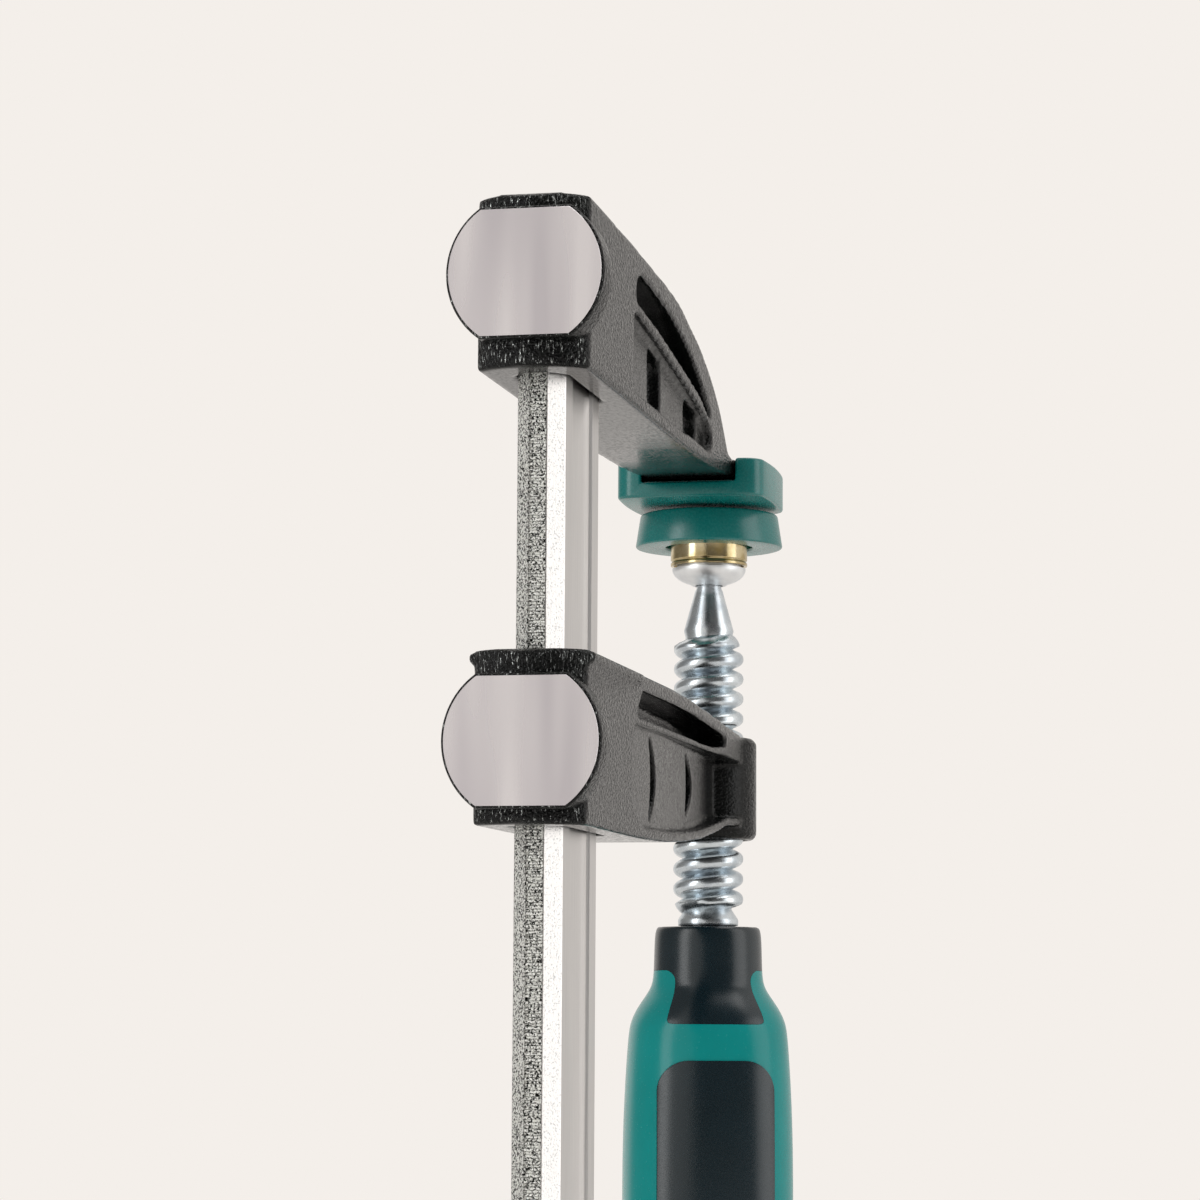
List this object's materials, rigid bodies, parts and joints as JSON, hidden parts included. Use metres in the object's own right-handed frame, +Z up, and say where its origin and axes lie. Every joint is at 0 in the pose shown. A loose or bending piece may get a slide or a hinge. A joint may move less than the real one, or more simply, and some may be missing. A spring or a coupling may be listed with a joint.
{
  "type": "screw clamp",
  "caption": "Cast-iron screw clamp with a flat steel rail, fixed jaw, sliding arm, threaded spindle, swivelling plate, soft pad caps and a two-material grip.",
  "frame": {"origin": "on the spindle's axis, in the pressing face of the fixed jaw's cap", "axes": "+Z up along the rail, from the handle to the fixed jaw; +X from the rail to the spindle; +Y across the thickness"},
  "size_m": [0.1778, 0.0344, 0.3826],
  "materials": {
    "painted_iron": "fine hammered grey-black paint over malleable iron",
    "rail_steel": "bright drawn steel, serrated on its narrow edges",
    "bright_zinc": "bright zinc-plated steel",
    "passivated_steel": "yellow passivated zinc plating",
    "teal_cap_plastic": "moulded soft teal plastic",
    "teal_handle_plastic": "moulded hard teal plastic",
    "grey_soft_plastic": "moulded dark grey soft plastic"
  },
  "bodies": {
    "frame": {"rail": "rail_steel", "rail_end_pin": "bright_zinc", "fixed_jaw": "painted_iron", "fixed_jaw_cap": "teal_cap_plastic"},
    "arm": {"sliding_arm": "painted_iron"},
    "ball_cup": {"ball_retainer": "bright_zinc"},
    "plate": {"pressure_plate": "passivated_steel", "pressure_plate_cap": "teal_cap_plastic"},
    "screw": {"spindle": "bright_zinc", "handle_body": "teal_handle_plastic", "handle_collar": "grey_soft_plastic", "grip_panel_front": "grey_soft_plastic", "grip_panel_rear": "grey_soft_plastic", "handle_end_cap": "grey_soft_plastic"}
  },
  "joints": [
    {"name": "arm_slide", "type": "slide", "parent": "frame", "child": "arm", "axis": [0, 0, 1], "range_m": [-0.267, 0]},
    {"name": "screw_feed", "type": "slide", "parent": "arm", "child": "ball_cup", "axis": [0, 0, 1], "range_m": [-0.032, 0]},
    {"name": "plate_tilt", "type": "hinge", "parent": "ball_cup", "child": "plate", "pos_m": [0, 0, -0.0096], "axis": [0, 1, 0], "range_deg": [-3, 3]},
    {"name": "spindle_turn", "type": "hinge", "parent": "ball_cup", "child": "screw", "pos_m": [0, 0, -0.0096], "axis": [0, 0, 1], "range_deg": [-2885, 0]}
  ],
  "couplings": [
    {"joint": "spindle_turn", "follows": "screw_feed", "rad_per_m": 1570.8}
  ]
}
